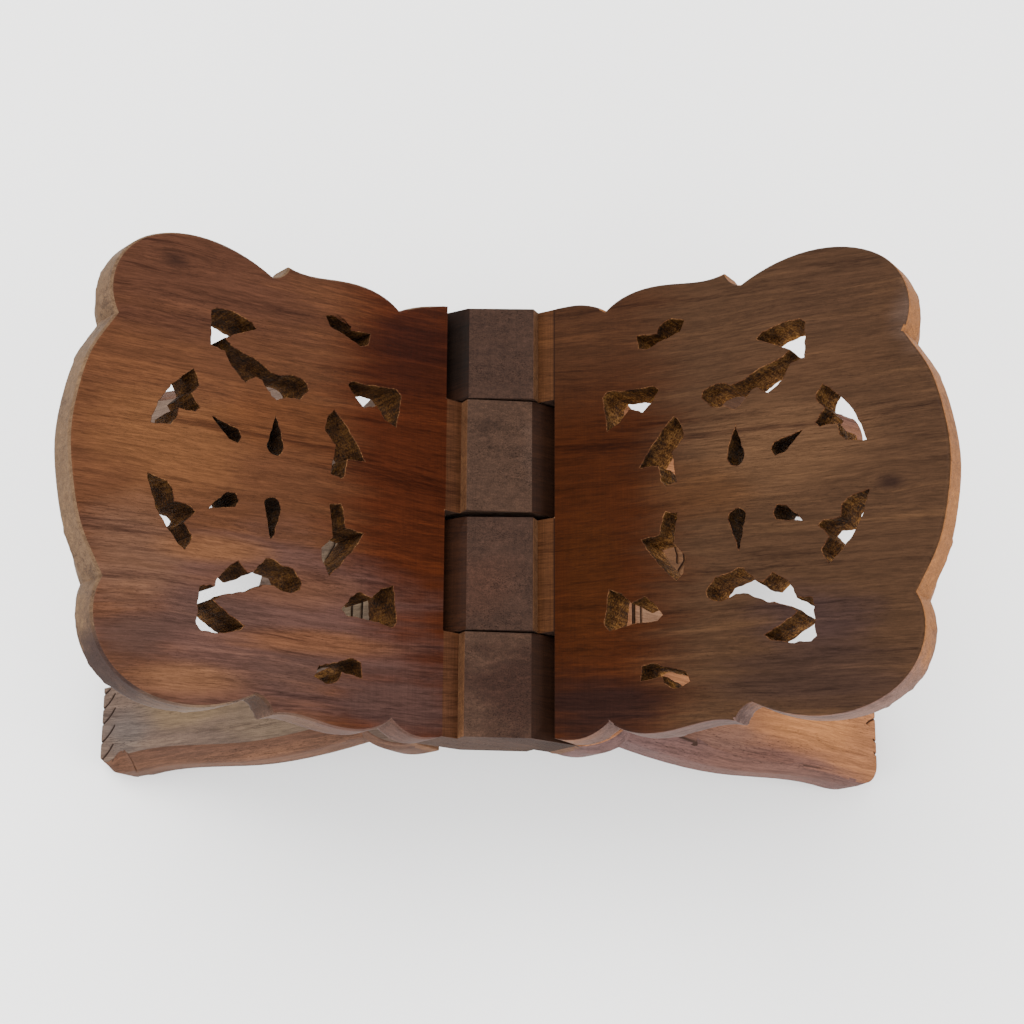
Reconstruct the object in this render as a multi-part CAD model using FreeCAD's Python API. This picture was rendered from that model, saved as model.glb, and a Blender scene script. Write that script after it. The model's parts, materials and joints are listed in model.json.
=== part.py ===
import FreeCAD, Part
import math
import os

# A folding book rest carved from one plank. Two leaves interlock at square
# knuckles that are cut in the wood itself, with no pin, so the stand opens
# to an X and folds flat to the thickness of the plank again.
# Lengths are in millimetres. Z is up, the hinge runs along Y, and the floor
# is Z = 0. The panel of the right leaf rises to +X, and its leg goes to -X.
# The origin is under the middle of the open stand.

# the plank that the leaves are sawn from
plank_thickness = 40.0
saw_kerf = 1.5
leaf_width = 200.0
hinge_width = 193.0
panel_length = 208.0
right_leg_length = 205.0
left_leg_length = 217.0

# the interlocking hinge
hinge_reach = 28.5
knuckle_side_gap = 0.8
middle_joint_gap = 2.4
stop_gap = 0.15

# joints between knuckles, as shares of the hinge width from the far end
joint_shares = (0.222, 0.494, 0.763)

# knuckle cross-section: shares of the hinge reach, then of half the plank
crown_reach_share = 0.105
riser_top_share = (0.741, 0.237)
riser_foot_share = 0.705

# the outer edges are bevelled by hand, and each foot is planed flat
panel_bevel_width = 7.0
panel_bevel_depth = 6.0
leg_bevel_width = 6.5
leg_bevel_depth = 6.0
right_leg_corner_radius = 7.0
left_leg_corner_radius = 11.0
foot_flat_width = 9.0

# how far cutting and joining solids run past the faces that they meet
overrun = 2.0

# Outline of half a panel, from hinge to tip. Strokes meet at a corner, and a
# stroke through one point between its ends is an arc. A point is the share of
# the panel's reach past the hinge, the share of half the leaf's width, and
# how much of the bevel it gets.
panel_stroke_shares = (
    ((0.075, 0.978, 0.7), (0.143, 0.922, 1.0)),
    ((0.180, 0.962, 1.0), (0.260, 0.990, 1.0), (0.340, 0.978, 1.0), (0.400, 0.964, 1.0),
     (0.464, 0.975, 1.0)),
    ((0.478, 0.932, 1.0), (0.507, 0.906, 1.0)),
    ((0.580, 0.962, 1.0), (0.690, 0.994, 1.0), (0.791, 0.966, 1.0), (0.872, 0.880, 1.0),
     (0.915, 0.755, 0.9), (0.922, 0.645, 0.5), (0.905, 0.546, 0.15)),
)
panel_tip_shares = (
    (0.922, 0.495, 0.3), (0.960, 0.372, 0.9), (0.987, 0.200, 1.0),
)

# Outline of half a leg, from hinge to foot, in shares of the leg's reach past
# the hinge. The last number of a point is again its share of the bevel.
leg_stroke_shares = (
    ((0.085, 0.972, 0.4), (0.184, 0.891, 1.0)),
    ((0.270, 0.915, 1.0), (0.410, 0.941, 1.0), (0.525, 0.947, 1.0), (0.700, 0.929, 1.0),
     (0.900, 0.934, 1.0)),
)

# The bevel runs out round the corner of the foot.
foot_corner_bevel_shares = (0.9, 0.6, 0.3, 0.0)

# The arch between the feet, from one foot's inner corner up to the crown.
arch_foot_share = 0.536
arch_shares = ((0.890, 0.515), (0.780, 0.472), (0.665, 0.400), (0.570, 0.312), (0.512, 0.222),
               (0.485, 0.120))
arch_crown_share = 0.479

# Pierced leaves and seeds of the panel, cut on each side of its middle line.
# A hole is a ring of strokes that each start where the last one ends. With
# one point a stroke is a straight chisel cut, and with two it is an arc
# through the second.
petal_shares = (
    ((0.229, 0.767),), ((0.284, 0.757), (0.300, 0.800)), ((0.327, 0.814),), ((0.357, 0.793),),
    ((0.345, 0.748),), ((0.304, 0.727),), ((0.255, 0.695),), ((0.234, 0.708),),
)
wing_shares = (
    ((0.135, 0.510),), ((0.149, 0.534),), ((0.211, 0.521),), ((0.275, 0.519),),
    ((0.288, 0.498),), ((0.264, 0.443),), ((0.242, 0.411),), ((0.206, 0.431),),
    ((0.180, 0.381),), ((0.148, 0.358),), ((0.142, 0.422),),
)
arrow_shares = (
    ((0.326, 0.363), (0.344, 0.315)), ((0.349, 0.259),), ((0.319, 0.203),),
    ((0.330, 0.069),), ((0.301, 0.058),), ((0.292, 0.079),), ((0.285, 0.152),),
    ((0.235, 0.161), (0.273, 0.262)),
)
branch_shares = (
    ((0.404, 0.451), (0.436, 0.472)), ((0.475, 0.455),), ((0.504, 0.460),), ((0.549, 0.503),),
    ((0.580, 0.515),), ((0.612, 0.537),), ((0.629, 0.560),), ((0.594, 0.597),),
    ((0.546, 0.640),), ((0.560, 0.662),), ((0.609, 0.688),), ((0.655, 0.688),),
    ((0.668, 0.669),), ((0.664, 0.513),), ((0.626, 0.503), (0.613, 0.454)),
    ((0.590, 0.412),), ((0.569, 0.386),), ((0.543, 0.424),), ((0.526, 0.413),),
    ((0.497, 0.352),), ((0.484, 0.345),), ((0.459, 0.364),), ((0.424, 0.373),),
    ((0.401, 0.423),),
)
sickle_shares = (
    ((0.706, 0.383), (0.768, 0.268)), ((0.807, 0.106),), ((0.758, 0.121),), ((0.743, 0.148),),
    ((0.739, 0.200),), ((0.696, 0.200),), ((0.685, 0.220),), ((0.710, 0.275),),
    ((0.689, 0.320),), ((0.692, 0.346),),
)
seed_shares = (
    ((0.651, 0.195),), ((0.607, 0.114),), ((0.584, 0.109),), ((0.575, 0.137),),
    ((0.583, 0.166),), ((0.613, 0.178),),
)
drop_shares = (
    ((0.486, 0.267),), ((0.503, 0.146), (0.483, 0.093)), ((0.463, 0.135),), ((0.468, 0.186),),
)
panel_hole_shares = (
    petal_shares, wing_shares, arrow_shares, branch_shares, sickle_shares, seed_shares,
    drop_shares,
)

# Pierced holes of the leg, seen through the wing and arrow holes of the panel above.
leg_leaf_shares = (
    ((0.140, 0.700), (0.235, 0.590)), ((0.366, 0.721), (0.270, 0.826)),
)
leg_seed_shares = (
    ((0.309, 0.453), (0.372, 0.410)), ((0.428, 0.463), (0.366, 0.500)),
)
leg_hole_shares = (leg_leaf_shares, leg_seed_shares)

# The stencil was drawn round by hand, and came out a little narrower on the
# far side. Shares of its width on the far and near sides of each panel.
left_panel_width_shares = (0.955, 1.010)
right_panel_width_shares = (0.985, 1.000)

# Bevel near the hinge and at the foot: the right leaf's leg is even, and the
# left leaf's leg is wide near the hinge and runs out at the foot.
right_leg_bevel_shares = (1.0, 1.0)
left_leg_bevel_shares = (1.7, 0.1)

half_plank = plank_thickness / 2
half_kerf = saw_kerf / 2
half_hinge = hinge_width / 2
half_leaf = leaf_width / 2
panel_reach = panel_length - hinge_reach

# The open stand rests where the outer corner of each panel's end meets the
# face of the other leaf's leg, and that sets the lean of both leaves.
corner_radius = math.hypot(hinge_reach, half_plank)
corner_angle = math.atan2(half_plank, hinge_reach)
lean = (corner_angle + math.asin((half_plank + stop_gap) / corner_radius)) / 2

# One leg is longer than the other, so the open stand settles a little to one
# side, until both feet are on the floor.
settle = math.atan(
    math.tan(lean) * (left_leg_length - right_leg_length) / (left_leg_length + right_leg_length)
)
right_lean = lean + settle
left_lean = lean - settle

# The hinge axis lies this far above the flats planed on the feet.
axis_height = (
    right_leg_length * math.sin(right_lean)
    - half_kerf * math.cos(right_lean)
    - foot_flat_width * math.sin(right_lean) * math.cos(right_lean)
)


# A leaf is drawn lying flat: X runs from the hinge to the panel's tip, Y is
# the hinge axis, and Z is the height above the middle of the plank. An
# outline point is its X, its Y and its share of the bevel.
def outline_strokes(stroke_shares, reach, half_width):
    strokes = []
    start = (hinge_reach, half_hinge, 0)
    for shares in stroke_shares:
        stroke = [start]
        for reach_share, width_share, bevel_share in shares:
            stroke.append((hinge_reach + reach * reach_share, half_width * width_share, bevel_share))
        strokes.append(stroke)
        start = stroke[-1]
    return strokes


def other_half(strokes):
    return [[(x, -y, bevel_share) for x, y, bevel_share in reversed(stroke)] for stroke in reversed(strokes)]


def panel_outline(width_shares):
    far_half, near_half = [
        outline_strokes(panel_stroke_shares + (panel_tip_shares,), panel_reach, half_leaf * share)
        for share in width_shares
    ]
    near_half = other_half(near_half)
    end_lobe = far_half[-1] + [(panel_length, 0, 1)] + near_half[0]
    return far_half[:-1] + [end_lobe] + near_half[1:]


def foot_corner(start, leg_length, corner_radius):
    """A quarter round from the side of the leg to the foot's end."""
    corner = [start]
    steps = len(foot_corner_bevel_shares) - 1
    for step, bevel_share in enumerate(foot_corner_bevel_shares):
        turn = math.pi / 2 * step / steps
        x = leg_length - corner_radius * (1 - math.sin(turn))
        y = start[1] - corner_radius * (1 - math.cos(turn))
        corner.append((x, y, bevel_share))
    return corner


def leg_outline(leg_length, corner_radius, bevel_ends):
    leg_reach = leg_length - hinge_reach
    half = outline_strokes(leg_stroke_shares, leg_reach, half_leaf)
    half.append(foot_corner(half[-1][-1], leg_length, corner_radius))
    arch_corner = (leg_length, half_leaf * arch_foot_share, 0)
    half.append([half[-1][-1], arch_corner])
    rise = [(hinge_reach + leg_reach * reach_share, half_leaf * width_share, 0)
            for reach_share, width_share in arch_shares]
    crown = (hinge_reach + leg_reach * arch_crown_share, 0, 0)
    arch = [arch_corner] + rise
    outline = half + [arch + [crown] + other_half([arch])[0]] + other_half(half)
    hinge_end, foot_end = bevel_ends
    scaled = []
    for stroke in outline:
        scaled.append([])
        for x, y, bevel_share in stroke:
            along = (x - hinge_reach) / leg_reach
            scaled[-1].append((x, y, bevel_share * (hinge_end + (foot_end - hinge_end) * along)))
    return scaled


def curve(points):
    """A straight cut between two points, an arc through three, or a smooth curve through more."""
    if len(points) == 2:
        return Part.makeLine(points[0], points[1])
    if len(points) == 3:
        return Part.Arc(points[0], points[1], points[2]).toShape()
    spline = Part.BSplineCurve()
    spline.interpolate(points)
    return spline.toShape()


def bevel_step(before, point, after, width):
    """Where an outline point goes when both of its sides move inward by width."""
    normals = []
    for start, end in ((before, point), (point, after)):
        direction = FreeCAD.Vector(end[0] - start[0], end[1] - start[1], 0)
        direction.normalize()
        normals.append(FreeCAD.Vector(direction.y, -direction.x, 0))
    spread = 1 + normals[0].dot(normals[1])
    return (normals[0] + normals[1]) * (width / spread)


def outline_wire(strokes, level, bevel_width):
    ring = [strokes[0][0]]
    for stroke in strokes:
        ring.extend(stroke[1:])
    moved = []
    for place, (x, y, bevel_share) in enumerate(ring):
        point = FreeCAD.Vector(x, y, level)
        if bevel_width * bevel_share > 0:
            point += bevel_step(ring[place - 1], ring[place], ring[place + 1], bevel_width * bevel_share)
        moved.append(point)
    edges = []
    start = 0
    for stroke in strokes:
        end = start + len(stroke) - 1
        edges.append(curve(moved[start:end + 1]))
        start = end
    edges.append(Part.makeLine(moved[-1], moved[0]))
    return Part.Wire(edges)


def bevelled_board(strokes, inner_level, outer_level, bevel_width, bevel_depth):
    """A board with square edges that slope in towards its outer face."""
    direction = math.copysign(1, outer_level - inner_level)
    wires = [
        outline_wire(strokes, inner_level, 0),
        outline_wire(strokes, outer_level - direction * bevel_depth, 0),
        outline_wire(strokes, outer_level, bevel_width),
    ]
    return Part.makeLoft(wires, True, True)


def pierced_hole(ring_shares, reach, half_width):
    """A straight-walled hole through the whole plank. The near side's half width is negative."""
    points = [[(hinge_reach + reach * x_share, half_width * y_share) for x_share, y_share in stroke]
              for stroke in ring_shares]
    edges = []
    for place, stroke in enumerate(points):
        closing = points[(place + 1) % len(points)][0]
        edges.append(curve([FreeCAD.Vector(x, y, -half_plank - overrun) for x, y in stroke + [closing]]))
    return Part.Face(Part.Wire(edges)).extrude(FreeCAD.Vector(0, 0, plank_thickness + 2 * overrun))


def pierced(board, hole_shares, reach, width_shares):
    far_share, near_share = width_shares
    half_widths = (half_leaf * far_share, -half_leaf * near_share)
    return board.cut([pierced_hole(ring, reach, width) for ring in hole_shares for width in half_widths])


def knuckle(start, end):
    """One knuckle: the full plank, cut back to the kerf on each side of the axis."""
    crown = hinge_reach * crown_reach_share
    riser_top = (hinge_reach * riser_top_share[0], half_plank * riser_top_share[1])
    riser_foot = hinge_reach * riser_foot_share
    joined_reach = hinge_reach + overrun
    half_profile = [
        (joined_reach, -half_plank),
        (crown, -half_plank),
        (-riser_top[0], -riser_top[1]),
        (-riser_foot, half_kerf),
        (-joined_reach, half_kerf),
    ]
    profile = half_profile + [(-x, -z) for x, z in half_profile]
    corners = [FreeCAD.Vector(x, start, z) for x, z in profile]
    face = Part.Face(Part.makePolygon(corners + corners[:1]))
    return face.extrude(FreeCAD.Vector(0, end - start, 0))


def knuckle_spans():
    """The four knuckles from the far end of the hinge, each less its gaps."""
    gaps = (0, knuckle_side_gap, middle_joint_gap, knuckle_side_gap, 0)
    joints = [half_hinge - share * hinge_width for share in (0,) + joint_shares + (1,)]
    return [(joints[place + 1] + gaps[place + 1] / 2, joints[place] - gaps[place] / 2)
            for place in range(len(joints) - 1)]


def leaf(spans, panel_width_shares, leg_length, corner_radius, leg_bevel_ends):
    """One leaf lying flat: panel, leg on the other half of the plank, knuckles."""
    panel_strokes = panel_outline(panel_width_shares)
    panel = bevelled_board(panel_strokes, -half_kerf, -half_plank, panel_bevel_width, panel_bevel_depth)
    panel = pierced(panel, panel_hole_shares, panel_reach, panel_width_shares)
    leg_strokes = leg_outline(leg_length, corner_radius, leg_bevel_ends)
    leg = bevelled_board(leg_strokes, half_kerf, half_plank, leg_bevel_width, leg_bevel_depth)
    leg = pierced(leg, leg_hole_shares, leg_length - hinge_reach, (1, 1))
    leg = leg.mirror(FreeCAD.Vector(0, 0, 0), FreeCAD.Vector(1, 0, 0))
    knuckles = [knuckle(start, end) for start, end in spans]
    return panel.fuse([leg] + knuckles).removeSplitter()


def opened(flat_leaf, leaf_lean):
    """Lean the leaf into the open stand and plane its foot level with the floor."""
    flat_leaf.rotate(FreeCAD.Vector(0, 0, 0), FreeCAD.Vector(0, 1, 0), -math.degrees(leaf_lean))
    flat_leaf.translate(FreeCAD.Vector(0, 0, axis_height))
    ground_length = 2 * (left_leg_length + panel_length)
    ground_corner = FreeCAD.Vector(-ground_length / 2, -leaf_width, -axis_height)
    ground = Part.makeBox(ground_length, 2 * leaf_width, axis_height, ground_corner)
    return flat_leaf.cut(ground)


spans = knuckle_spans()
right_leaf = opened(
    leaf(spans[0::2], right_panel_width_shares, right_leg_length, right_leg_corner_radius,
         right_leg_bevel_shares),
    right_lean,
)
left_leaf = opened(
    leaf(spans[1::2], left_panel_width_shares, left_leg_length, left_leg_corner_radius,
         left_leg_bevel_shares),
    left_lean,
)
left_leaf = left_leaf.mirror(FreeCAD.Vector(0, 0, 0), FreeCAD.Vector(1, 0, 0))

# The origin goes to the middle of the floor that the open stand covers.
stand_box = right_leaf.optimalBoundingBox()
stand_box.add(left_leaf.optimalBoundingBox())
to_middle = FreeCAD.Vector(-stand_box.Center.x, -stand_box.Center.y, 0)
right_leaf.translate(to_middle)
left_leaf.translate(to_middle)

os.makedirs("parts", exist_ok=True)
for name, shape in (("right_leaf", right_leaf), ("left_leaf", left_leaf)):
    solid = shape.Solids[0]
    print(name, "solids", len(shape.Solids), "valid", solid.isValid(), "volume", round(solid.Volume))
    solid.exportStep("parts/" + name + ".step")
print("leans in degrees, right and left", round(math.degrees(right_lean), 3), round(math.degrees(left_lean), 3))
print("hinge axis at", round(to_middle.x, 3), round(to_middle.y, 3), round(axis_height, 3))
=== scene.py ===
import json
import math

import bmesh
import bpy
from mathutils import Matrix, Vector, noise


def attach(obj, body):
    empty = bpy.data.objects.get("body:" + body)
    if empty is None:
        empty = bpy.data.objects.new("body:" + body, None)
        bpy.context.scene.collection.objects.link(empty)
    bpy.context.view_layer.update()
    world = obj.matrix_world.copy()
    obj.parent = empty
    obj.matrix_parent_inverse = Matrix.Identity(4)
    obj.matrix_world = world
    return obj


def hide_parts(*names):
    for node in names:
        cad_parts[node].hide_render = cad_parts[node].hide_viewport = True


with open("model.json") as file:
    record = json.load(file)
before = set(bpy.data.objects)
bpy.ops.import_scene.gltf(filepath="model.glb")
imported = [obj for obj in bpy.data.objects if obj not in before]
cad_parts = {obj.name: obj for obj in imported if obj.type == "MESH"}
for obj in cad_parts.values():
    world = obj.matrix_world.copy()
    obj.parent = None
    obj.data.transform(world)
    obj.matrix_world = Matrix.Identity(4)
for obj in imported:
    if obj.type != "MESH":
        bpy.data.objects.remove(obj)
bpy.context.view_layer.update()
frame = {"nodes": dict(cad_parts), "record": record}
hinge = Vector(frame["record"]["behaviour"]["joints"][0]["pos_m"])
print("frame loaded, hinge axis at", tuple(hinge))

# Lengths are in metres. Each leaf is worked on lying flat: X runs out from the
# hinge, Y is the hinge axis and Z is the height over the middle of the plank.
# Side is -1 for the left leaf and 1 for the right leaf. Reach is X times side,
# so it is above 0 on the panel and below 0 on the leg.
leafShape = {
    "lean": {-1: math.radians(34.061), 1: math.radians(36.360)},
    "legLength": {-1: 0.217, 1: 0.205},
    "halfPlank": 0.020,
    "hingeReach": 0.0285,
    "panelReach": 0.1795,
    "holeShareOfPanel": 0.84,
    "holeShareOfLeg": 0.45,
    "holeHalfWidth": 0.0855,
}
# What tells the surfaces of a leaf apart: how far a normal points up or along
# the hinge, and heights over the middle of the plank.
telling = {
    "levelTilt": 0.99,
    "slopingTilt": 0.12,
    "facetTilt": 0.3,
    "cheekTurn": 0.5,
    "riserDepth": 0.003,
    "hingeSlack": 0.0002,
    "kerfLevel": 0.002,
    "outerLevel": 0.010,
    "levelSlack": 0.0001,
}
slots = ["face", "edge", "hollow", "leg", "foot", "knuckle", "riser", "rim"]
carving = {
    "mergeGap": 0.00002,
    "flatAngle": math.radians(0.4),
    "sharpAngle": math.radians(22),
    "creaseAngle": math.radians(38),
    # wall edges longer than this get so many cuts, and edges through the plank too or not
    "wallCuts": ((0.0048, 2, False), (0.0021, 3, True)),
    "wallWander": 0.0007,
    "rimWander": 0.0005,
    "wanderScales": (230, 560),
    "wanderFine": 0.8,
    "wanderSeed": Vector((3.1, 7.7, 1.9)),
    # where a hole was cut wider: its place out from the hinge and across, how far
    # round it, and how much deeper at the outer face and at the middle of the plank
    "undercuts": {
        "left_leaf": (
            (0.0600, 0.0505, 0.0110, 0.0014, 0.0),
            (-0.0900, 0.0790, 0.0100, 0.0, 0.0030),
        ),
        "right_leaf": ((-0.0565, 0.0610, 0.0120, 0.0026, 0.0),),
    },
    # how wide a chamfer is at least, how far its arrises are rounded, and in how many parts
    "outerRounds": ((0.0048, (0.0021, 3)), (0.0026, (0.0011, 2)), (0.0012, (0.0005, 1))),
    "arrisRound": (0.0017, 3),
    "rimRound": (0.00024, 1),
    "knuckleRound": (0.0005, 2),
}
flatWork = {"tilt": 0.999, "step": 0.009, "start": 0.0013, "length": 0.216, "halfWidth": 0.100}


def flatten(side):
    turn = Matrix.Rotation(side * leafShape["lean"][side], 4, "Y")
    return turn @ Matrix.Translation(-hinge)


def kindOf(face, side):
    middle = face.calc_center_median()
    reach = side * middle.x
    tilt = abs(face.normal.z)
    if abs(reach) < leafShape["hingeReach"] - telling["hingeSlack"]:
        isFacet = telling["facetTilt"] < tilt < telling["levelTilt"]
        return "knuckle" if isFacet or abs(face.normal.y) > telling["cheekTurn"] else "riser"
    if tilt > telling["levelTilt"]:
        return "leg" if reach < 0 else "face"
    edgeKind = "edge" if reach > 0 else "foot"
    if tilt > telling["slopingTilt"]:
        return edgeKind
    past = abs(reach) - leafShape["hingeReach"]
    if past < telling["riserDepth"]:
        return "riser"
    if reach > 0:
        holesEnd = leafShape["holeShareOfPanel"] * leafShape["panelReach"]
    else:
        legReach = leafShape["legLength"][side] - leafShape["hingeReach"]
        holesEnd = leafShape["holeShareOfLeg"] * legReach
    isHole = past < holesEnd and abs(middle.y) < leafShape["holeHalfWidth"]
    return "hollow" if isHole else edgeKind


def kinds(edge):
    return {slots[face.material_index] for face in edge.link_faces}


def isFaceArris(edge):
    atKerf = max(abs(vert.co.z) for vert in edge.verts) < telling["kerfLevel"]
    return atKerf and kinds(edge) in ({"edge", "face"}, {"foot", "leg"})


def isOuterArris(edge):
    isOuter = min(abs(vert.co.z) for vert in edge.verts) >= telling["outerLevel"]
    return isOuter and kinds(edge) <= {"edge", "foot", "leg", "face"}


def isHoleRim(edge):
    return kinds(edge) in ({"hollow", "face"}, {"hollow", "leg"})


def isKnuckleArris(edge):
    return kinds(edge) <= {"knuckle", "riser"}


def isSteep(edge, angle):
    return len(edge.link_faces) == 2 and edge.calc_face_angle(0) > angle


def sharpEdges(bm, test):
    return [edge for edge in bm.edges if isSteep(edge, carving["sharpAngle"]) and test(edge)]


def roundOff(bm, edges, offset, segments, slot=-1):
    bmesh.ops.bevel(
        bm, geom=edges, offset=offset, offset_type="OFFSET", affect="EDGES", segments=segments,
        profile=0.5, material=slot, clamp_overlap=False, miter_outer="SHARP", miter_inner="SHARP",
    )
    bm.normal_update()


def chamferWidth(edge):
    sloping = [face for face in edge.link_faces
               if telling["slopingTilt"] < abs(face.normal.z) < telling["levelTilt"]]
    if not sloping or edge.calc_length() < 1e-6:
        return 0
    strip = sloping[0]
    return strip.calc_area() / edge.calc_length() * (2 if len(strip.verts) == 3 else 1)


def outerArrises(bm):
    # the edges that each kind of rounding takes, by the width of the chamfer beside them
    groups = {rounding: [] for least, rounding in carving["outerRounds"]}
    for edge in sharpEdges(bm, isOuterArris):
        width = chamferWidth(edge)
        for least, rounding in carving["outerRounds"]:
            if width >= least:
                groups[rounding].append(edge)
                break
    return groups


def partWalls(bm):
    for longest, cuts, bothWays in carving["wallCuts"]:
        edges = set()
        for face in bm.faces:
            if slots[face.material_index] != "hollow":
                continue
            for edge in face.edges:
                run = (edge.verts[0].co - edge.verts[1].co).normalized()
                isThrough = abs(run.z) > 0.5
                isCut = bothWays if isThrough else edge.calc_length() > longest
                if isCut:
                    edges.add(edge)
        bm.edges.index_update()
        edges = sorted(edges, key=lambda edge: edge.index)
        bmesh.ops.subdivide_edges(bm, edges=edges, cuts=cuts, use_grid_fill=True)
    bm.normal_update()


def cutHollows(bm, name, side):
    # the walls of the holes wander as a chisel does, and some places are cut wider
    partWalls(bm)
    coarse, fine = carving["wanderScales"]
    moves = []
    for vert in bm.verts:
        walls = [face for face in vert.link_faces if slots[face.material_index] == "hollow"]
        outward = sum((face.normal for face in walls), Vector())
        if outward.length < 0.1:
            continue
        outward.z = 0
        outward.normalize()
        spot = vert.co + carving["wanderSeed"]
        wander = noise.noise(spot * coarse) + carving["wanderFine"] * noise.noise(spot * fine)
        atRim = len(walls) < len(vert.link_faces)
        move = wander * (carving["rimWander"] if atRim else carving["wallWander"])
        outerShare = min(abs(vert.co.z) / leafShape["halfPlank"], 1)
        for reach, across, radius, outer, inner in carving["undercuts"][name]:
            apart = math.hypot(side * vert.co.x - reach, vert.co.y - across)
            if apart < radius:
                fade = 0.5 + 0.5 * math.cos(math.pi * apart / radius)
                move -= fade * (inner + (outer - inner) * outerShare)
        moves.append((vert, outward * move))
    for vert, move in moves:
        vert.co += move
    bm.normal_update()


def cutAt(bm, faces, place, normal):
    # cuts the faces along a plane, and gives the faces on both sides of it
    parts = set(faces)
    for face in faces:
        parts.update(face.edges)
        parts.update(face.verts)
    for group in (bm.verts, bm.edges, bm.faces):
        group.index_update()
    parts = sorted(parts, key=lambda part: (type(part).__name__, part.index))
    made = bmesh.ops.bisect_plane(bm, geom=parts, dist=1e-7, plane_co=place, plane_no=normal)
    return [part for part in made["geom"] if isinstance(part, bmesh.types.BMFace)]


def partFlats(bm):
    # the large flat faces are parted into small ones, so that none runs over a hole
    faces = [face for face in bm.faces
             if abs(face.normal.z) > flatWork["tilt"]
             and slots[face.material_index] in ("leg", "face")]
    for axis, reach in ((Vector((1, 0, 0)), flatWork["length"]),
                        (Vector((0, 1, 0)), flatWork["halfWidth"])):
        count = int(reach / flatWork["step"])
        for step in range(-count, count + 1):
            place = axis * (step * flatWork["step"] + flatWork["start"])
            faces = cutAt(bm, faces, place, axis)
    bm.normal_update()


# V-cut strokes on the outer faces of the legs. Each patch is a stretch out from
# the hinge and across, with the strokes cut in it as (out, across) points.
strokeWork = {"step": 0.0005, "width": 0.0014, "depth": 0.0008, "parts": 8, "pastFoot": 0.001}
# across, length and sideways run of the strokes on one half of a foot
evenRow = (
    (0.0880, 0.0072, 0.0072), (0.0795, 0.0075, 0.0075), (0.0708, 0.0072, 0.0070),
    (0.0635, 0.0066, 0.0066), (0.0565, 0.0035, 0.0022),
)
wornRow = ((-0.0601, 0.0058, -0.0030), (-0.0712, 0.0016, 0.0010), (-0.0775, 0.0014, 0.0010))


def footRow(end, row, inner, low, high):
    # each stroke runs in from the foot's end and bends along it
    lines = []
    for start, length, rise in row:
        points = []
        for part in range(strokeWork["parts"] + 1):
            share = part / strokeWork["parts"]
            inward = 1.15 * share - 0.15 * share * share
            sideways = 0.64 * share + 0.36 * share * share
            points.append((end - length * inward, start + rise * sideways))
        lines.append(points)
    return {"box": (end - inner, end + strokeWork["pastFoot"], low, high), "lines": lines}


strokes = {
    "right_leaf": [
        footRow(leafShape["legLength"][1],
                [(half * start, length, -half * rise) for start, length, rise in evenRow],
                0.0090, *sorted((half * 0.0890, half * 0.0540)))
        for half in (-1, 1)
    ] + [
        {"box": (0.0560, 0.0646, -0.0400, -0.0290),
         "lines": [[(0.0574, -0.0300), (0.0576, -0.0390)],
                   [(0.0628, -0.0300), (0.0630, -0.0390)]]},
        {"box": (0.0712, 0.0792, -0.0096, 0.0014),
         "lines": [[(0.0725, 0.0004), (0.0738, -0.0030), (0.0780, -0.0086)]]},
    ],
    "left_leaf": [
        footRow(leafShape["legLength"][-1], wornRow, 0.0070, -0.0800, -0.0560),
        {"box": (0.0596, 0.0672, -0.0405, -0.0270),
         "lines": [[(0.0610, -0.0275), (0.0610, -0.0400)],
                   [(0.0620, -0.0275), (0.0620, -0.0400)],
                   [(0.0659, -0.0275), (0.0659, -0.0400)]]},
        {"box": (0.0840, 0.0945, -0.0100, 0.0040),
         "lines": [[(0.0905, 0.0036), (0.0926, 0.0000), (0.0930, -0.0030), (0.0886, -0.0090)],
                   [(0.0868, 0.0034), (0.0885, -0.0010), (0.0884, -0.0050)]]},
    ],
}


def lineDistance(x, y, points):
    nearest = math.inf
    for (startX, startY), (endX, endY) in zip(points, points[1:]):
        runX, runY = endX - startX, endY - startY
        share = ((x - startX) * runX + (y - startY) * runY) / (runX ** 2 + runY ** 2)
        share = min(max(share, 0), 1)
        nearest = min(nearest, math.hypot(x - startX - share * runX, y - startY - share * runY))
    return nearest


def evenCuts(start, end):
    count = max(int((end - start) / strokeWork["step"]), 1)
    return [start + (end - start) * step / count for step in range(1, count)]


def isLegFace(face):
    level = leafShape["halfPlank"] - telling["levelSlack"]
    isLeg = slots[face.material_index] == "leg" and face.normal.z > telling["levelTilt"]
    return isLeg and face.calc_center_median().z > level


def isInBox(face, side, box):
    near, far, low, high = box
    middle = face.calc_center_median()
    return near < -side * middle.x < far and low < middle.y < high


def cutGrid(bm, faces, side, outs, rows):
    for out in outs:
        faces = cutAt(bm, faces, (-side * out, 0, 0), (1, 0, 0))
    for row in rows:
        faces = cutAt(bm, faces, (0, row, 0), (0, 1, 0))
    return faces


def cutStrokes(bm, name, side):
    for patch in strokes[name]:
        near, far, low, high = patch["box"]
        faces = [face for face in bm.faces if isLegFace(face)]
        faces = cutGrid(bm, faces, side, (near, far), (low, high))
        faces = [face for face in faces if isInBox(face, side, patch["box"])]
        faces = cutGrid(bm, faces, side, evenCuts(near, far), evenCuts(low, high))
        spots = {vert for face in faces for vert in face.verts}
        for vert in sorted(spots, key=lambda vert: tuple(vert.co)):
            gap = min(lineDistance(-side * vert.co.x, vert.co.y, line) for line in patch["lines"])
            share = 1 - gap / (strokeWork["width"] / 2)
            if share > 0:
                vert.co.z -= strokeWork["depth"] * share
        bm.normal_update()


def markCreases(bm):
    for face in bm.faces:
        face.smooth = slots[face.material_index] != "hollow"
    for edge in bm.edges:
        besideRim = "rim" in kinds(edge) and len(kinds(edge)) > 1
        if besideRim or isSteep(edge, carving["creaseAngle"]):
            edge.smooth = False


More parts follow.
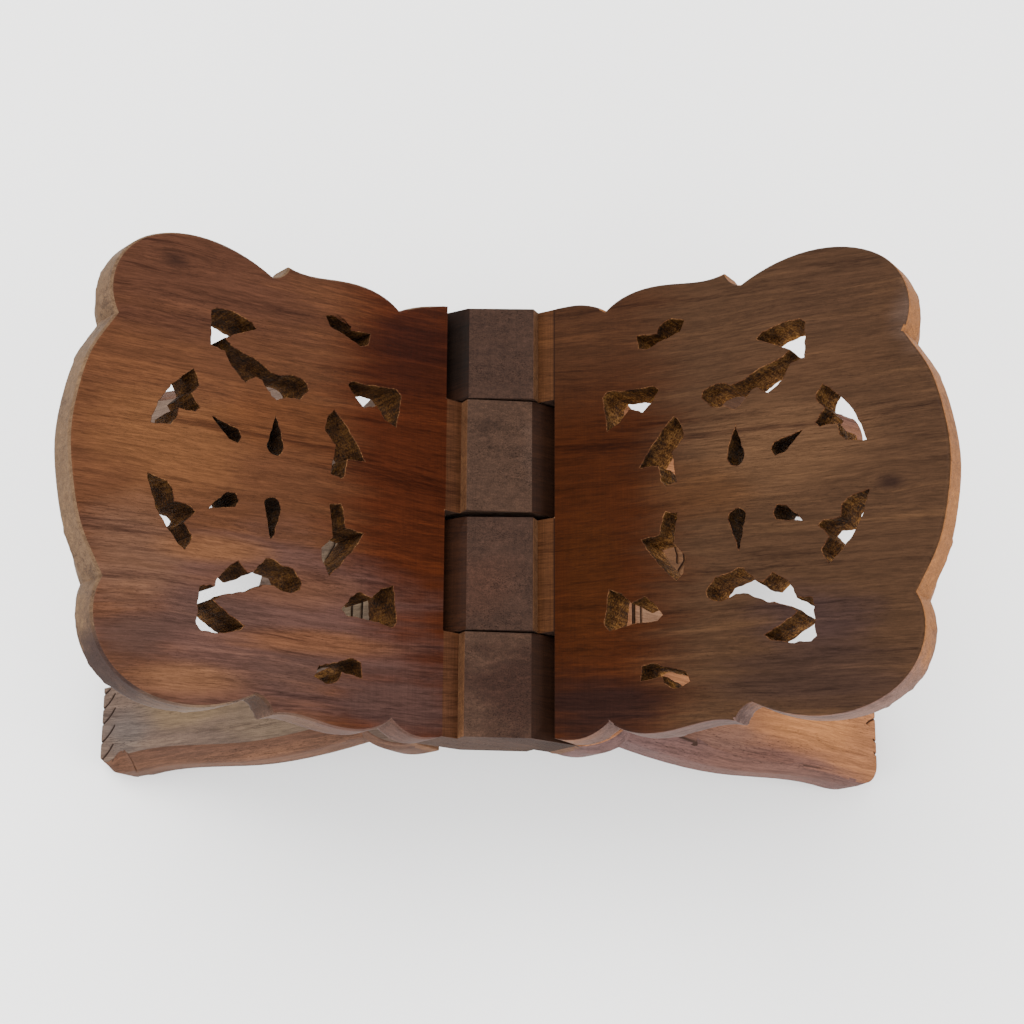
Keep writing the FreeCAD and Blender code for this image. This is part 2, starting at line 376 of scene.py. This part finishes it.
def settleOrder(bm):
    # rounding off leaves the parts of the mesh in a chance order, so they are put in line
    for parts, place in (
            (bm.verts, lambda vert: tuple(vert.co)),
            (bm.edges, lambda edge: sorted(vert.index for vert in edge.verts)),
            (bm.faces, lambda face: sorted(vert.index for vert in face.verts))):
        for rank, part in enumerate(sorted(parts, key=place)):
            part.index = rank
        parts.sort()


def carveLeaf(name, side):
    bm = bmesh.new()
    bm.from_mesh(frame["nodes"][name].data)
    bmesh.ops.remove_doubles(bm, verts=bm.verts, dist=carving["mergeGap"])
    flat = flatten(side)
    bmesh.ops.transform(bm, matrix=flat, verts=bm.verts)
    bmesh.ops.dissolve_limit(
        bm, angle_limit=carving["flatAngle"], verts=bm.verts, edges=bm.edges)
    bm.normal_update()
    for face in bm.faces:
        face.material_index = slots.index(kindOf(face, side))
    cutHollows(bm, name, side)
    for rounding, edges in outerArrises(bm).items():
        roundOff(bm, [edge for edge in edges if edge.is_valid], *rounding)
    roundOff(bm, sharpEdges(bm, isFaceArris), *carving["arrisRound"])
    roundOff(bm, sharpEdges(bm, isHoleRim), *carving["rimRound"], slots.index("rim"))
    roundOff(bm, sharpEdges(bm, isKnuckleArris), *carving["knuckleRound"])
    partFlats(bm)
    cutStrokes(bm, name, side)
    markCreases(bm)
    settleOrder(bm)
    bmesh.ops.transform(bm, matrix=flat.inverted(), verts=bm.verts)

    mesh = bpy.data.meshes.new(name + "_carved")
    bm.to_mesh(mesh)
    openEdges = sum(1 for edge in bm.edges if len(edge.link_faces) != 2)
    bm.free()
    carved = bpy.data.objects.new(name + "_carved", mesh)
    bpy.context.scene.collection.objects.link(carved)
    weigh = carved.modifiers.new("faceWeight", "WEIGHTED_NORMAL")
    weigh.keep_sharp = True
    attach(carved, name)
    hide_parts(name)
    print(name, "carved:", len(mesh.polygons), "faces,", openEdges, "open edges")
    return carved


class Socket:
    def __init__(self, nodes, socket):
        self.nodes = nodes
        self.socket = socket

    def math(self, operation, other=0.0, flip=False):
        pair = (other, self) if flip else (self, other)
        return self.nodes.add("ShaderNodeMath", {"operation": operation}, {0: pair[0], 1: pair[1]})

    def __add__(self, other):
        return self.math("ADD", other)

    __radd__ = __add__

    def __sub__(self, other):
        return self.math("SUBTRACT", other)

    def __rsub__(self, other):
        return self.math("SUBTRACT", other, flip=True)

    def __mul__(self, other):
        return self.math("MULTIPLY", other)

    __rmul__ = __mul__

    def __truediv__(self, other):
        return self.math("DIVIDE", other)

    def __rtruediv__(self, other):
        return self.math("DIVIDE", other, flip=True)


# Noises: how much each is drawn together along the grain, across it and through
# the plank, then its detail and its roughness.
grains = {
    "sway": ((4, 9, 9), 2.0, 0.5),
    "ripple": ((16, 60, 60), 2.0, 0.5),
    "broad": ((4, 42, 42), 2.0, 0.5),
    "bands": ((8, 150, 150), 3.0, 0.6),
    "cloud": ((30, 70, 70), 3.0, 0.6),
    "streak": ((22, 440, 440), 3.0, 0.6),
    "fine": ((70, 1200, 1200), 3.0, 0.65),
    "fibre": ((200, 3000, 3000), 2.0, 0.6),
    "dashes": ((480, 2900, 2900), 1.0, 0.4),
    "dashZone": ((12, 90, 90), 2.0, 0.5),
    "cross": ((1500, 40, 40), 2.0, 0.6),
    "speck": ((1500, 2100, 2100), 2.0, 0.7),
    # in the holes
    "chisel": ((800, 800, 60), 3.0, 0.65),
    "saw": ((240, 240, 1500), 2.0, 0.5),
    "torn": ((1100, 1100, 1100), 3.0, 0.65),
    "patch": ((130, 130, 130), 2.0, 0.5),
}


class Nodes:
    def __init__(self, material):
        self.tree = material.node_tree

    def add(self, kind, settings=None, inputs=None, output=0):
        node = self.tree.nodes.new(kind)
        for key, value in (settings or {}).items():
            if key == "stops":
                ramp = node.color_ramp
                while len(ramp.elements) < len(value):
                    ramp.elements.new(1.0)
                for element, (place, colour) in zip(ramp.elements, value):
                    element.position = place
                    element.color = (*colour[:3], 1.0)
            else:
                setattr(node, key, value)
        for key, value in (inputs or {}).items():
            if isinstance(value, Socket):
                self.tree.links.new(value.socket, node.inputs[key])
            else:
                node.inputs[key].default_value = value
        return Socket(self, node.outputs[output]) if node.outputs else None

    def leafPlace(self, side):
        # the leaf's own flat frame, so the grain runs out from the hinge
        lean = side * leafShape["lean"][side]
        coordinates = self.add("ShaderNodeTexCoord", output="Object")
        return self.add("ShaderNodeMapping", {"vector_type": "POINT"}, {
            "Vector": coordinates, "Location": Matrix.Rotation(lean, 3, "Y") @ -hinge,
            "Rotation": (0, lean, 0)})

    def parts(self, vector):
        node = self.add("ShaderNodeSeparateXYZ", {}, {"Vector": vector}).socket.node
        return [Socket(self, output) for output in node.outputs]

    def grain(self, vector, name):
        scale, detail, rough = grains[name]
        drawn = self.add("ShaderNodeMapping", {}, {"Vector": vector, "Scale": scale})
        return self.add("ShaderNodeTexNoise", {"noise_dimensions": "3D"}, {
            "Vector": drawn, "Scale": 1.0, "Detail": detail, "Roughness": rough})

    def vector(self, x=0.0, y=0.0, z=0.0):
        return self.add("ShaderNodeCombineXYZ", {}, {"X": x, "Y": y, "Z": z})

    def ring(self, reach, askew, middle, centre, length, width):
        # 0 at the middle of an ellipse on the leaf and 1 on its outline
        spot = self.vector((reach - middle) / length, (askew - centre) / width)
        return self.add("ShaderNodeVectorMath", {"operation": "LENGTH"}, {0: spot}, output=1)

    def limits(self, value, low, high, to=(0.0, 1.0)):
        return self.add("ShaderNodeMapRange", {"interpolation_type": "SMOOTHSTEP"}, {
            "Value": value, "From Min": low, "From Max": high, "To Min": to[0], "To Max": to[1]})

    def mix(self, factor, first, second, blend="MIX"):
        return self.add("ShaderNodeMix", {"data_type": "RGBA", "blend_type": blend}, {
            0: factor, 6: first, 7: second}, output=2)

    def scaled(self, colour, scale):
        return self.add("ShaderNodeVectorMath", {"operation": "SCALE"}, {
            0: colour, "Scale": scale})

    def shade(self, look, colour, rough, height):
        bump = self.add("ShaderNodeBump", {}, {
            "Strength": look["bump"], "Distance": look["bumpDepth"], "Height": height})
        shader = self.add("ShaderNodeBsdfPrincipled", {}, {
            "Base Color": colour, "Roughness": rough, "Normal": bump,
            "Specular IOR Level": look["shine"]})
        self.add("ShaderNodeOutputMaterial", {}, {"Surface": shader})


def startMaterial(name):
    material = bpy.data.materials.new(name)
    material.use_nodes = True
    material.node_tree.nodes.clear()
    return material, Nodes(material)


def weighed(noises, weights):
    parts = [noises[name] * weight for name, weight in weights.items()]
    return sum(parts[1:], parts[0])


def tint(red, green, blue):
    return tuple(((value / 255 + 0.055) / 1.055) ** 2.4 for value in (red, green, blue)) + (1.0,)


white = (1.0, 1.0, 1.0)
# Values that all the woods share. Where two values stand for one limit, a mask
# goes from 0 at the first to 1 at the second.
woodWork = {
    "seedShift": (1.37, 0.61),
    "sway": (0.024, 0.010),
    "ripple": 0.0026,
    "poreDashes": (0.61, 0.69),
    "poreZone": (0.42, 0.60, (0.12, 1.0)),
    "poreColour": (0.006, 0.003, 0.002, 1.0),
    "poreAmount": 0.6,
    "poreRough": 0.2,
    "poreDepth": 0.9,
    "hingeSpread": 0.04,
    "hingeFarSide": (0.030, 0.080),
    "hingeCross": 0.45,
    "sawCross": 0.25,
    "sawDepth": 0.35,
    "zoneNoise": {"broad": 1.1, "bands": 0.9, "cloud": 0.8},
    "zoneEdge": (1.25, 0.35),
    "toneParts": {"broad": 0.32, "bands": 0.30, "streak": 0.20, "fine": 0.12, "fibre": 0.06},
    "toneStops": (0.38, 0.47, 0.53, 0.63),
    "shadeParts": {"streak": 0.30, "fine": 0.35, "fibre": 0.35},
    "shadeEdge": (0.37, 0.63, (0.70, 1.24)),
    "bumpParts": {"streak": 0.3, "fine": 0.35, "fibre": 0.25},
    "fineRough": 0.15,
    "speckDepth": 0.5,
}
# a knot bends the grain in a ring round it, and darkens it
knotWork = {"spread": 2.6, "pull": 0.62, "blur": 0.9, "edge": (1.1, 0.2), "amount": 0.75,
            "colour": tint(25, 14, 11)}
# beside the knuckles the face runs on, sawn across, to a scored line, which is painted dark as the
# shade in its groove
stripWork = {"edge": (0.02840, 0.02790), "blur": 0.0006, "amount": 0.85,
             "line": 0.0283, "lineEdge": (0.00050, 0.00015)}
# how far under the leg's face the carved strokes are painted dark as shade, up to the leg's edges
sunkWork = {"depth": (0.00008, 0.00045), "halfWidth": (0.0892, 0.0886), "amount": 0.85}
# painted shade for the scored line and the carved strokes
grooveShade = tint(26, 15, 10)

# What sets one finish apart. The hinge colour takes over between hingeFrom and
# hingeTo, by hingeFar less at the far side, and the streaks multiply the body colour.
# On the panels' faces the hinge colour is the wood's own; on the legs it is mostly painted shadow.
polished = {
    "rough": 0.50, "roughSpread": 0.20, "bump": 0.30, "bumpDepth": 0.0003, "pores": 0.5,
    "shine": 0.03, "slant": 0.09, "saw": 0.0, "speck": 0.35, "hasStrip": True,
    "darkStreak": (0.56, 0.52, 0.55), "lightStreak": (1.40, 1.40, 1.30),
    "hingeFrom": 0.104, "hingeTo": 0.060,
}
sawn = {
    "rough": 0.68, "roughSpread": 0.15, "bump": 0.45, "bumpDepth": 0.0003, "pores": 0.8,
    "shine": 0.07, "slant": 0.0, "saw": 0.3, "speck": 0.6, "hasStrip": False,
    "darkStreak": (0.62, 0.58, 0.58), "lightStreak": (1.30, 1.30, 1.22),
    "hingeFrom": 0.034, "hingeTo": 0.030,
}
matte = {
    "rough": 0.82, "roughSpread": 0.12, "bump": 0.9, "bumpDepth": 0.0003, "pores": 1.0,
    "shine": 0.10, "slant": 0.0, "saw": 1.0, "speck": 1.3, "hasStrip": False,
    "darkStreak": (0.72, 0.70, 0.70), "lightStreak": (1.25, 1.25, 1.25),
    "hingeFrom": 0.034, "hingeTo": 0.030,
}


def woodLook(kind, seed, body, hingeTintAndShade=None, hingeAmount=0.0, zones=(), **more):
    look = dict(kind, seed=seed, body=body, hinge=hingeTintAndShade or body, hingeAmount=hingeAmount,
                zones=zones, knots=(), hingeFar=1.0, hasGroove=False, hasStrokes=False)
    look.update(more)
    return look


# Each zone is a stretch of wood of another tone: its middle and half size along
# and across, its colour and its strength. Some zones are painted light instead, as marked. A knot
# is a middle and half size.
woodLooks = {
    "left_leaf": {
        "face": woodLook(
            polished, 1.0, tint(66, 40, 25), tint(50, 19, 6), 0.9, zones=(
                (0.150, 0.080, 0.075, 0.032, tint(56, 34, 26), 0.60),
                (0.166, 0.006, 0.042, 0.026, tint(86, 55, 33), 0.75),
                (0.112, 0.026, 0.034, 0.018, tint(74, 42, 22), 0.45),
                (0.120, -0.062, 0.090, 0.040, tint(66, 46, 41), 0.90),
                (0.176, -0.046, 0.022, 0.026, tint(80, 56, 42), 0.70),
                (0.176, -0.076, 0.018, 0.014, tint(54, 38, 33), 0.75),
                (0.143, -0.036, 0.026, 0.006, tint(92, 60, 38), 0.75),
                (0.110, -0.046, 0.040, 0.009, tint(76, 48, 32), 0.60),
                (0.098, -0.067, 0.046, 0.006, tint(86, 54, 34), 0.70),
                (0.152, -0.089, 0.030, 0.007, tint(92, 62, 42), 0.75),
                (0.142, -0.062, 0.034, 0.010, tint(54, 38, 33), 0.60),
                (0.105, -0.080, 0.034, 0.009, tint(52, 37, 33), 0.60),
                (0.052, -0.086, 0.036, 0.017, tint(56, 39, 35), 0.90),
                (0.044, 0.074, 0.034, 0.022, tint(34, 12, 6), 0.85),
            ),
            knots=((0.166, 0.081, 0.011, 0.0045),), stripColour=tint(60, 37, 23)),
        "edge": woodLook(
            sawn, 2.0, tint(80, 61, 44), tint(50, 32, 24), 0.7, zones=(
                (0.150, -0.095, 0.060, 0.026, tint(62, 48, 42), 0.8),
                (0.060, -0.095, 0.060, 0.030, tint(66, 46, 40), 0.9),
                (0.182, -0.087, 0.026, 0.026, tint(42, 29, 25), 0.95),
                (0.141, -0.098, 0.012, 0.020, tint(84, 66, 50), 0.70),
                (0.117, -0.092, 0.007, 0.012, tint(48, 32, 23), 0.90),
            )),
        # the leg's hinge colour is painted shadow with some dark wood, where the other leaf shades
        # the leg beside the knuckles
        "leg": woodLook(
            sawn, 3.0, tint(122, 80, 53), tint(29, 14, 6), 1.0, zones=(
                (-0.178, -0.066, 0.042, 0.014, tint(142, 93, 55), 0.8),
                (-0.130, -0.092, 0.080, 0.013, tint(84, 58, 52), 0.9),
                (-0.115, -0.078, 0.026, 0.012, tint(94, 68, 58), 0.7),
                (-0.160, 0.080, 0.080, 0.036, tint(76, 52, 44), 0.95),
                (-0.126, 0.081, 0.016, 0.012, tint(52, 33, 20), 0.9),
                (-0.090, -0.003, 0.014, 0.016, tint(84, 58, 38), 0.9),
                (-0.071, -0.033, 0.012, 0.012, tint(120, 92, 72), 0.8),
            ), hasStrokes=True),
        "foot": woodLook(
            sawn, 3.5, tint(78, 57, 54), tint(60, 40, 34), 0.6, zones=(
                (-0.150, -0.092, 0.060, 0.020, tint(86, 58, 47), 0.6),
            )),
        "knuckle": woodLook(
            matte, 4.0, tint(53, 37, 28), zones=(
                # painted highlight: a lighter patch of sheen on the knuckle's facet
                (-0.010, 0.030, 0.010, 0.022, tint(64, 48, 40), 0.7),
                (0.0, -0.074, 0.030, 0.026, tint(39, 23, 17), 0.9),
                # painted shadow: the slanted face beside the knuckles, shaded by the other leaf's
                # panel end
                (-0.027, 0.0, 0.013, 0.300, tint(32, 17, 8), 0.8),
            )),
        "riser": woodLook(sawn, 4.5, tint(78, 52, 34)),
    },
    "right_leaf": {
        "face": woodLook(
            polished, 5.0, tint(52, 35, 23), tint(44, 17, 2), 0.92, zones=(
                (0.135, 0.014, 0.046, 0.022, tint(69, 48, 32), 0.80),
                (0.150, 0.046, 0.040, 0.012, tint(60, 40, 26), 0.50),
                (0.160, 0.076, 0.036, 0.022, tint(51, 34, 23), 0.60),
                # painted sheen on the tip of the far lobe
                (0.197, 0.062, 0.012, 0.020, tint(66, 52, 45), 0.60),
                (0.146, -0.060, 0.030, 0.014, tint(40, 28, 28), 0.70),
                (0.150, -0.084, 0.046, 0.015, tint(40, 27, 22), 0.75),
                (0.100, 0.000, 0.026, 0.014, tint(62, 38, 20), 0.50),
                (0.050, -0.086, 0.038, 0.018, tint(27, 14, 11), 0.90),
                (0.045, -0.030, 0.018, 0.034, tint(48, 23, 6), 0.50),
            ),
            knots=((0.1825, -0.0085, 0.0075, 0.0042),), hingeFar=0.45,
            stripColour=tint(62, 38, 22), hasGroove=True),
        "edge": woodLook(
            sawn, 6.0, tint(112, 72, 40), tint(54, 35, 26), 0.7, zones=(
                (0.172, -0.092, 0.036, 0.022, tint(88, 68, 62), 0.9),
                (0.080, -0.100, 0.060, 0.030, tint(74, 57, 53), 0.95),
            )),
        # the leg's hinge colour is painted shadow with some dark wood, where the other leaf shades
        # the leg beside the knuckles
        "leg": woodLook(
            sawn, 7.0, tint(80, 65, 56), tint(34, 16, 6), 1.0, zones=(
                (-0.010, 0.078, 0.016, 0.026, tint(14, 7, 3), 0.9),
                (-0.150, -0.068, 0.034, 0.011, tint(92, 75, 55), 0.8),
                (-0.190, -0.078, 0.018, 0.014, tint(70, 62, 58), 0.8),
                (-0.104, -0.078, 0.030, 0.015, tint(93, 77, 62), 0.8),
                (-0.068, -0.020, 0.026, 0.036, tint(98, 82, 64), 0.8),
            ), hasStrokes=True),
        "foot": woodLook(
            sawn, 7.5, tint(67, 45, 34), tint(58, 38, 30), 0.6, zones=(
                (-0.110, -0.094, 0.050, 0.020, tint(80, 54, 40), 0.6),
            )),
        "knuckle": woodLook(
            matte, 8.0, tint(46, 31, 24), zones=(
                (0.0, -0.030, 0.020, 0.018, tint(54, 34, 25), 0.7),
                # painted shadow: the slanted face beside the knuckles, shaded by the other leaf's
                # panel end
                (-0.027, 0.0, 0.013, 0.300, tint(36, 19, 9), 0.8),
                (-0.025, 0.078, 0.012, 0.024, tint(18, 9, 4), 0.9),
            )),
        "riser": woodLook(sawn, 8.5, tint(82, 56, 38)),
    },
}


def woodMaterial(name, side, look):
    material, nodes = startMaterial(name)
    out, across, level = nodes.parts(nodes.leafPlace(side))
    reach, along = out * side, out.math("ABSOLUTE")
    # the grain crosses the leaf a little askew
    askew = across + reach * look["slant"]

    bow = askew
    for middle, offset, length, width in look["knots"]:
        centre = offset + look["slant"] * middle
        spread = knotWork["spread"]
        ring = nodes.ring(reach, askew, middle, centre, length * spread, width * spread)
        bow = bow - (askew - centre) * (nodes.limits(ring, 1.0, 0.0) * knotWork["pull"])
    seedOut, seedAcross = woodWork["seedShift"]
    flat = nodes.vector(reach + look["seed"] * seedOut, bow + look["seed"] * seedAcross, level)
    sway, ripple = nodes.grain(flat, "sway") - 0.5, nodes.grain(flat, "ripple") - 0.5
    swayAcross, swayThrough = woodWork["sway"]
    bend = nodes.vector(
        y=sway * swayAcross + ripple * woodWork["ripple"], z=sway * swayThrough)
    swayed = nodes.add("ShaderNodeVectorMath", {"operation": "ADD"}, {0: flat, 1: bend})

    noises = {grain: nodes.grain(swayed, grain) for grain in (
        "broad", "bands", "cloud", "streak", "fine", "fibre", "dashes", "dashZone", "cross")}
    noises["speck"] = nodes.grain(flat, "speck")
    centred = {grain: noises[grain] - 0.5 for grain in (
        "broad", "bands", "cloud", "streak", "fine", "cross", "speck")}
    pores = nodes.limits(noises["dashes"], *woodWork["poreDashes"])
    pores = pores * nodes.limits(noises["dashZone"], *woodWork["poreZone"])

    # body, hinge colour (painted shadow on the legs), zones and strip
    nearHinge = along + centred["bands"] * woodWork["hingeSpread"]
    hingeMask = nodes.limits(nearHinge, look["hingeFrom"], look["hingeTo"])
    farShare = nodes.limits(across, *woodWork["hingeFarSide"], (1.0, look["hingeFar"]))
    hingeMask = hingeMask * farShare * look["hingeAmount"]
    colour = nodes.mix(hingeMask, look["body"], look["hinge"])
    zoneNoise = weighed(centred, woodWork["zoneNoise"])
    for middle, offset, length, width, zoneColour, amount in look["zones"]:
        centre = offset + look["slant"] * middle
        ring = nodes.ring(reach, askew, middle, centre, length, width)
        zone = nodes.limits(ring + zoneNoise, *woodWork["zoneEdge"])
        colour = nodes.mix(zone * amount, colour, zoneColour)
    if look["hasStrip"]:
        strip = nodes.limits(along + centred["cross"] * stripWork["blur"], *stripWork["edge"])
        colour = nodes.mix(strip * stripWork["amount"], colour, look["stripColour"])
        hingeMask = hingeMask + strip

    # streaks, fibre and pores
    tones = (look["darkStreak"], white, white, look["lightStreak"])
    streaks = nodes.add("ShaderNodeValToRGB", {"stops": list(zip(woodWork["toneStops"], tones))},
                        {"Fac": weighed(noises, woodWork["toneParts"])})
    colour = nodes.mix(1.0, colour, streaks, "MULTIPLY")
    grainShade = nodes.limits(weighed(noises, woodWork["shadeParts"]), *woodWork["shadeEdge"])
    crossAmount = woodWork["sawCross"] * look["saw"] + hingeMask * woodWork["hingeCross"]
    crossShade = 1.0 + centred["cross"] * crossAmount + centred["speck"] * look["speck"]
    shaded = nodes.scaled(colour, grainShade * crossShade)
    shaded = nodes.mix(pores * (woodWork["poreAmount"] * look["pores"]), shaded,
                       woodWork["poreColour"])

    # knots, and the painted shade in the scored line and the carved strokes
    for middle, offset, length, width in look["knots"]:
        centre = offset + look["slant"] * middle
        ring = nodes.ring(reach, askew, middle, centre, length, width)
        knot = nodes.limits(ring + centred["streak"] * knotWork["blur"], *knotWork["edge"])
        shaded = nodes.mix(knot * knotWork["amount"], shaded, knotWork["colour"])
    # the scored line is painted shade
    if look["hasGroove"]:
        fromLine = (along - stripWork["line"]).math("ABSOLUTE")
        score = nodes.limits(fromLine, *stripWork["lineEdge"])
        shaded = nodes.mix(score * stripWork["amount"], shaded, grooveShade)
    # painted shade in the carved strokes
    if look["hasStrokes"]:
        top, bottom = [leafShape["halfPlank"] - depth for depth in sunkWork["depth"]]
        sunk = nodes.limits(level, top, bottom)
        inside = nodes.limits(across.math("ABSOLUTE"), *sunkWork["halfWidth"])
        shaded = nodes.mix(sunk * inside * sunkWork["amount"], shaded, grooveShade)

    rough = look["rough"] + centred["bands"] * look["roughSpread"]
    rough = rough + centred["fine"] * woodWork["fineRough"] + pores * woodWork["poreRough"]
    height = weighed(noises, woodWork["bumpParts"])
    height = height + noises["speck"] * look["speck"] * woodWork["speckDepth"]
    height = height - pores * (woodWork["poreDepth"] * look["pores"])
    height = height + noises["cross"] * (woodWork["sawDepth"] * look["saw"])
    nodes.shade(look, shaded, rough, height)
    return material


# Chiselled walls. They are darkest just under the panel's face, and little light
# reaches those of the drops and seeds, which lie within smallHoles.
hollowWork = {
    "toneParts": {"chisel": 0.22, "saw": 0.06, "torn": 0.46, "patch": 0.26},
    "toneStops": (0.40, 0.50, 0.62),
    "bumpParts": {"chisel": 0.6, "saw": 0.3, "torn": 0.4},
    "tornRough": 0.2,
    "depth": (0.0010, 0.0110),
    "legStart": (-0.020, 0.0),
    "smallHoles": {"near": 0.103, "far": 0.151, "halfWidth": 0.031},
    "smallBlur": 0.003,
}
chiselled = {"rough": 0.9, "bump": 0.7, "bumpDepth": 0.0006, "shine": 0.06, "shallow": 0.50,
             "inLeg": 0.55, "smallLoss": 0.60}
hollowLooks = {
    "left_leaf": dict(chiselled, deep=1.05, tones=(
        tint(22, 11, 4), tint(58, 34, 13), tint(99, 66, 31))),
    "right_leaf": dict(chiselled, deep=1.30, tones=(
        tint(24, 12, 4), tint(69, 42, 16), tint(128, 89, 46))),
}
rimLook = dict(chiselled, rough=0.85, bump=0.5, shallow=1.0, deep=1.0, inLeg=1.0, smallLoss=0.0,
               tones=(tint(40, 21, 12), tint(62, 36, 21), tint(104, 72, 45)))


def hollowMaterial(name, side, look):
    material, nodes = startMaterial(name)
    place = nodes.leafPlace(side)
    out, across, level = nodes.parts(place)
    reach, aside = out * side, across.math("ABSOLUTE")
    noises = {grain: nodes.grain(place, grain) for grain in ("chisel", "saw", "torn", "patch")}
    colour = nodes.add(
        "ShaderNodeValToRGB", {"stops": list(zip(hollowWork["toneStops"], look["tones"]))},
        {"Fac": weighed(noises, hollowWork["toneParts"])})
    light = nodes.limits(
        level.math("ABSOLUTE"), *hollowWork["depth"], (look["shallow"], look["deep"]))
    light = light * nodes.limits(reach, *hollowWork["legStart"], (look["inLeg"], 1.0))
    holes, blur = hollowWork["smallHoles"], hollowWork["smallBlur"]
    small = nodes.limits(reach, holes["near"], holes["near"] + blur)
    small = small * nodes.limits(reach, holes["far"], holes["far"] - blur)
    small = small * nodes.limits(aside, holes["halfWidth"], holes["halfWidth"] - blur)
    light = light * (1.0 - small * look["smallLoss"])
    rough = look["rough"] + (noises["torn"] - 0.5) * hollowWork["tornRough"]
    nodes.shade(look, nodes.scaled(colour, light), rough, weighed(noises, hollowWork["bumpParts"]))
    return material


for leafName, side in (("left_leaf", -1), ("right_leaf", 1)):
    leaf = carveLeaf(leafName, side)
    for slotName in slots:
        title = leafName + "_" + slotName
        if slotName == "hollow":
            made = hollowMaterial(title, side, hollowLooks[leafName])
        elif slotName == "rim":
            made = hollowMaterial(title, side, rimLook)
        else:
            made = woodMaterial(title, side, woodLooks[leafName][slotName])
        leaf.data.materials.append(made)
print("leaves carved and finished")

studio = {
    "floorSize": 8.0,
    "floorColour": (0.93, 0.93, 0.93, 1.0),
    "floorRough": 0.9,
    "floorShine": 0.1,
    "skyColour": (1.0, 1.0, 1.0, 1.0),
    "skyStrength": 1.7,
    "aim": Vector((0, 0, 0.12)),
}
lights = {
    # place, size, power, colour
    "overhead": ((-0.5, 0.7, 1.9), 1.6, 56.0, (1.0, 0.98, 0.95)),
    "leftFill": ((-2.0, -0.9, 1.1), 1.4, 40.0, (0.94, 0.97, 1.0)),
    "rightFill": ((1.9, -0.7, 1.0), 1.3, 36.0, (1.0, 0.95, 0.90)),
    "frontFill": ((0.1, -2.1, 1.0), 1.4, 29.0, (1.0, 0.98, 0.96)),
}


def layFloor():
    shape = bmesh.new()
    bmesh.ops.create_grid(shape, x_segments=1, y_segments=1, size=studio["floorSize"])
    mesh = bpy.data.meshes.new("floor")
    shape.to_mesh(mesh)
    shape.free()
    paint = bpy.data.materials.new("paleFloor")
    paint.use_nodes = True
    shader = paint.node_tree.nodes["Principled BSDF"]
    shader.inputs["Base Color"].default_value = studio["floorColour"]
    shader.inputs["Roughness"].default_value = studio["floorRough"]
    shader.inputs["Specular IOR Level"].default_value = studio["floorShine"]
    mesh.materials.append(paint)
    floor = bpy.data.objects.new("floor", mesh)
    bpy.context.scene.collection.objects.link(floor)


def hangLights():
    world = bpy.data.worlds.new("studio")
    world.use_nodes = True
    sky = world.node_tree.nodes["Background"]
    sky.inputs["Color"].default_value = studio["skyColour"]
    sky.inputs["Strength"].default_value = studio["skyStrength"]
    bpy.context.scene.world = world
    for lightName, (place, size, power, colour) in lights.items():
        lamp = bpy.data.lights.new(lightName, "AREA")
        lamp.shape = "DISK"
        lamp.size = size
        lamp.energy = power
        lamp.color = colour
        holder = bpy.data.objects.new(lightName, lamp)
        holder.location = place
        towards = studio["aim"] - Vector(place)
        holder.rotation_euler = towards.to_track_quat("-Z", "Y").to_euler()
        bpy.context.scene.collection.objects.link(holder)


layFloor()
hangLights()
print("studio lit")

viewpoint = {
    "target": Vector((0.000863, 0.008087, 0.116761)),
    "distance": 0.96564,
    "elevation": math.radians(72.537),
    "turn": math.radians(-15.026),
    "roll": math.radians(16.037),
    "lens": 77.34,
    "sensor": 36.0,
}


def makeCamera():
    lift, turn, roll = viewpoint["elevation"], viewpoint["turn"], viewpoint["roll"]
    back = Vector((math.sin(turn) * math.cos(lift), -math.cos(turn) * math.cos(lift),
                   math.sin(lift)))
    right = Vector((math.cos(turn), math.sin(turn), 0))
    up = back.cross(right)
    rolledRight = right * math.cos(roll) + up * math.sin(roll)
    rolledUp = up * math.cos(roll) - right * math.sin(roll)
    stance = Matrix((rolledRight, rolledUp, back)).transposed().to_4x4()
    stance.translation = viewpoint["target"] + back * viewpoint["distance"]
    lens = bpy.data.cameras.new("photoCamera")
    lens.lens = viewpoint["lens"]
    lens.sensor_width = viewpoint["sensor"]
    camera = bpy.data.objects.new("photoCamera", lens)
    camera.matrix_world = stance
    bpy.context.scene.collection.objects.link(camera)
    bpy.context.scene.camera = camera


makeCamera()
print("camera set")
